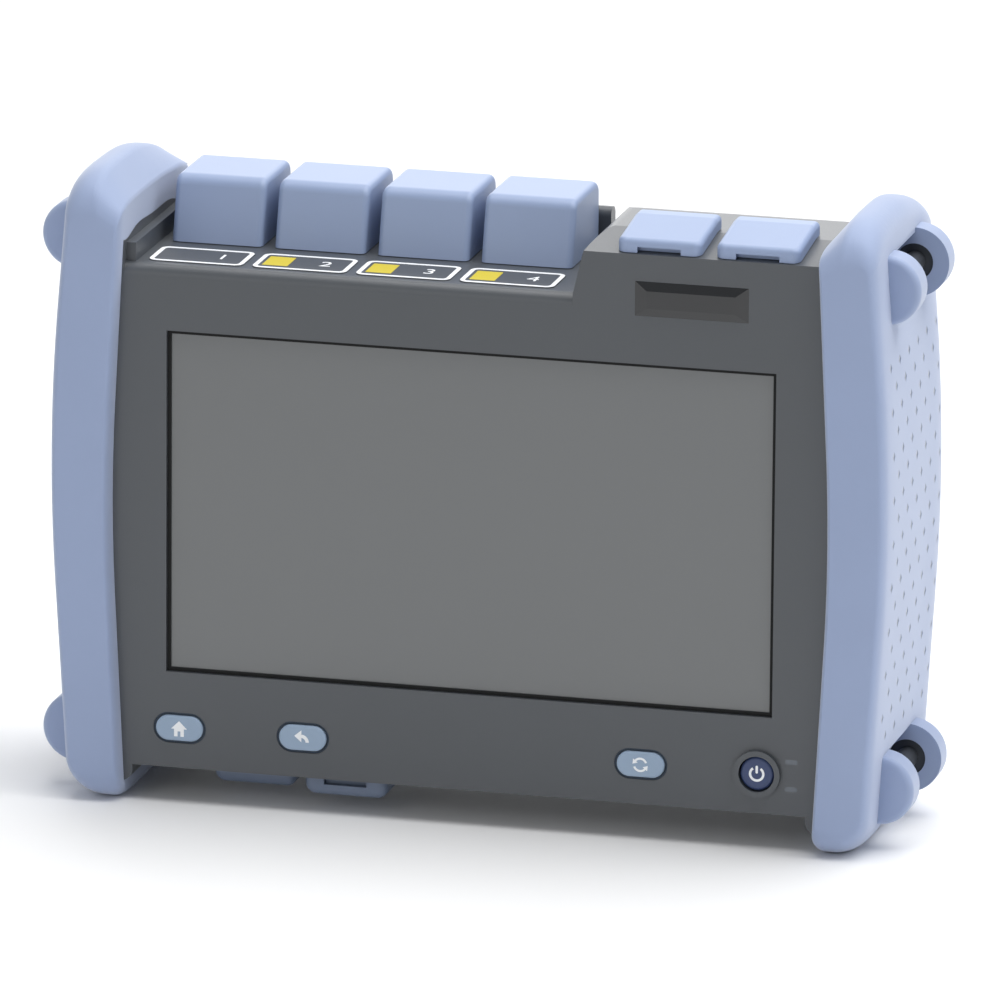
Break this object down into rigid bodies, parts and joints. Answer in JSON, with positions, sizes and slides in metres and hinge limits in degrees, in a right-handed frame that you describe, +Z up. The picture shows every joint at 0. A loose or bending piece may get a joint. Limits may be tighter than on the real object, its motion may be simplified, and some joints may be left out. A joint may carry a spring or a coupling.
{
  "type": "optical time domain reflectometer",
  "caption": "Portable optical time domain reflectometer: grey case with a large screen and keys, hinged caps over the optical ports, socket covers, and blue corner bumpers with strap bars.",
  "frame": {"origin": "middle of the whole object on the table plane that the bumper feet stand on", "axes": "+X to the right as the screen is read, +Y to the rear, +Z up"},
  "size_m": [0.2242, 0.066, 0.1611],
  "materials": {
    "case_plastic": "dark grey moulded ABS and PC, fine satin grain",
    "bumper_elastomer": "light periwinkle blue overmoulded elastomer, matte",
    "cap_plastic": "light periwinkle blue moulded plastic, satin",
    "black_rubber": "black rubber and foam",
    "display_glass": "anti-glare touch glass",
    "display_metal": "display panel with a metal back",
    "nameplate_gloss": "black gloss plate",
    "sheet_aluminium": "plain sheet and milled aluminium",
    "circuit_board": "green glass-epoxy board",
    "steel": "zinc plated steel",
    "navy_silicone": "navy silicone",
    "key_plastic": "light blue key caps, satin",
    "power_key_plastic": "navy key cap, satin",
    "light_pipe": "smoked light pipe, unlit",
    "nickel_plate": "nickel plated brass",
    "label_film": "printed film with plain numbers",
    "socket_plastic": "black moulded socket plastic",
    "battery_cells": "wrapped lithium cells",
    "strap_bar_plastic": "dark grey moulded bar"
  },
  "bodies": {
    "case": {"adapter_screws": "steel", "battery_door": "case_plastic", "battery_pack": "battery_cells", "board_screws": "steel", "board_shields": "sheet_aluminium", "bottom_socket_board": "circuit_board", "bumper_left": "bumper_elastomer", "bumper_right": "bumper_elastomer", "case_screws": "steel", "case_seal": "black_rubber", "chassis_frame": "sheet_aluminium", "cover_pins": "steel", "dc_socket": "socket_plastic", "device_usb_socket": "steel", "display_gasket": "black_rubber", "display_glass": "display_glass", "display_module": "display_metal", "door_screws": "steel", "front_shell": "case_plastic", "key_domes": "steel", "keypad_board": "circuit_board", "keypad_mat": "navy_silicone", "keypad_screws": "steel", "lan_socket": "socket_plastic", "main_board": "circuit_board", "module_screws": "steel", "nameplate": "nameplate_gloss", "optical_module": "sheet_aluminium", "port_adapter_1": "nickel_plate", "port_adapter_2": "nickel_plate", "port_adapter_3": "nickel_plate", "port_adapter_4": "nickel_plate", "port_cap_pin": "steel", "port_labels": "label_film", "port_plate": "sheet_aluminium", "power_key_guard": "navy_silicone", "rear_shell": "case_plastic", "speaker": "socket_plastic", "stand_pins": "steel", "status_light_pipes": "light_pipe", "strap_bar_lower_left": "strap_bar_plastic", "strap_bar_lower_right": "strap_bar_plastic", "strap_bar_upper_left": "strap_bar_plastic", "strap_bar_upper_right": "strap_bar_plastic", "top_socket_board": "circuit_board", "usb_socket": "steel"},
    "port_cap_1": {"port_cap_1": "cap_plastic"},
    "port_cap_2": {"port_cap_2": "cap_plastic"},
    "port_cap_3": {"port_cap_3": "cap_plastic"},
    "port_cap_4": {"port_cap_4": "cap_plastic"},
    "bottom_cover_1": {"bottom_cover_1": "cap_plastic"},
    "bottom_cover_2": {"bottom_cover_2": "cap_plastic"},
    "top_cover_1": {"top_cover_1": "cap_plastic"},
    "top_cover_2": {"top_cover_2": "cap_plastic"},
    "home_key": {"home_key": "key_plastic"},
    "back_key": {"back_key": "key_plastic"},
    "auto_key": {"auto_key": "key_plastic"},
    "power_key": {"power_key": "power_key_plastic"},
    "tilt_stand": {"tilt_stand": "case_plastic"}
  },
  "joints": [
    {"name": "port_cap_1_hinge", "type": "hinge", "parent": "case", "child": "port_cap_1", "pos_m": [-0.0719, 0.0277, 0.1452], "axis": [-1, 0, 0], "range_deg": [0, 110]},
    {"name": "port_cap_2_hinge", "type": "hinge", "parent": "case", "child": "port_cap_2", "pos_m": [-0.04535, 0.0277, 0.1452], "axis": [-1, 0, 0], "range_deg": [0, 110]},
    {"name": "port_cap_3_hinge", "type": "hinge", "parent": "case", "child": "port_cap_3", "pos_m": [-0.0188, 0.0277, 0.1452], "axis": [-1, 0, 0], "range_deg": [0, 110]},
    {"name": "port_cap_4_hinge", "type": "hinge", "parent": "case", "child": "port_cap_4", "pos_m": [0.00775, 0.0277, 0.1452], "axis": [-1, 0, 0], "range_deg": [0, 110]},
    {"name": "top_cover_1_hinge", "type": "hinge", "parent": "case", "child": "top_cover_1", "pos_m": [0.0476, -0.0054, 0.1534], "axis": [-1, 0, 0], "range_deg": [0, 110]},
    {"name": "top_cover_2_hinge", "type": "hinge", "parent": "case", "child": "top_cover_2", "pos_m": [0.0725, -0.0054, 0.1534], "axis": [-1, 0, 0], "range_deg": [0, 110]},
    {"name": "bottom_cover_1_hinge", "type": "hinge", "parent": "case", "child": "bottom_cover_1", "pos_m": [-0.0564, -0.0004, 0.008], "axis": [1, 0, 0], "range_deg": [0, 110]},
    {"name": "bottom_cover_2_hinge", "type": "hinge", "parent": "case", "child": "bottom_cover_2", "pos_m": [-0.0316, -0.0051, 0.008], "axis": [1, 0, 0], "range_deg": [0, 110]},
    {"name": "tilt_stand_hinge", "type": "hinge", "parent": "case", "child": "tilt_stand", "pos_m": [0, 0.028, 0.0934], "axis": [1, 0, 0], "range_deg": [0, 35]},
    {"name": "home_key_press", "type": "slide", "parent": "case", "child": "home_key", "axis": [0, 1, 0], "range_m": [0, 0.0008], "stiffness_N_per_m": 1500, "springref_m": -0.0005},
    {"name": "back_key_press", "type": "slide", "parent": "case", "child": "back_key", "axis": [0, 1, 0], "range_m": [0, 0.0008], "stiffness_N_per_m": 1500, "springref_m": -0.0005},
    {"name": "auto_key_press", "type": "slide", "parent": "case", "child": "auto_key", "axis": [0, 1, 0], "range_m": [0, 0.0008], "stiffness_N_per_m": 1500, "springref_m": -0.0005},
    {"name": "power_key_press", "type": "slide", "parent": "case", "child": "power_key", "axis": [0, 1, 0], "range_m": [0, 0.0008], "stiffness_N_per_m": 1500, "springref_m": -0.0005}
  ]
}
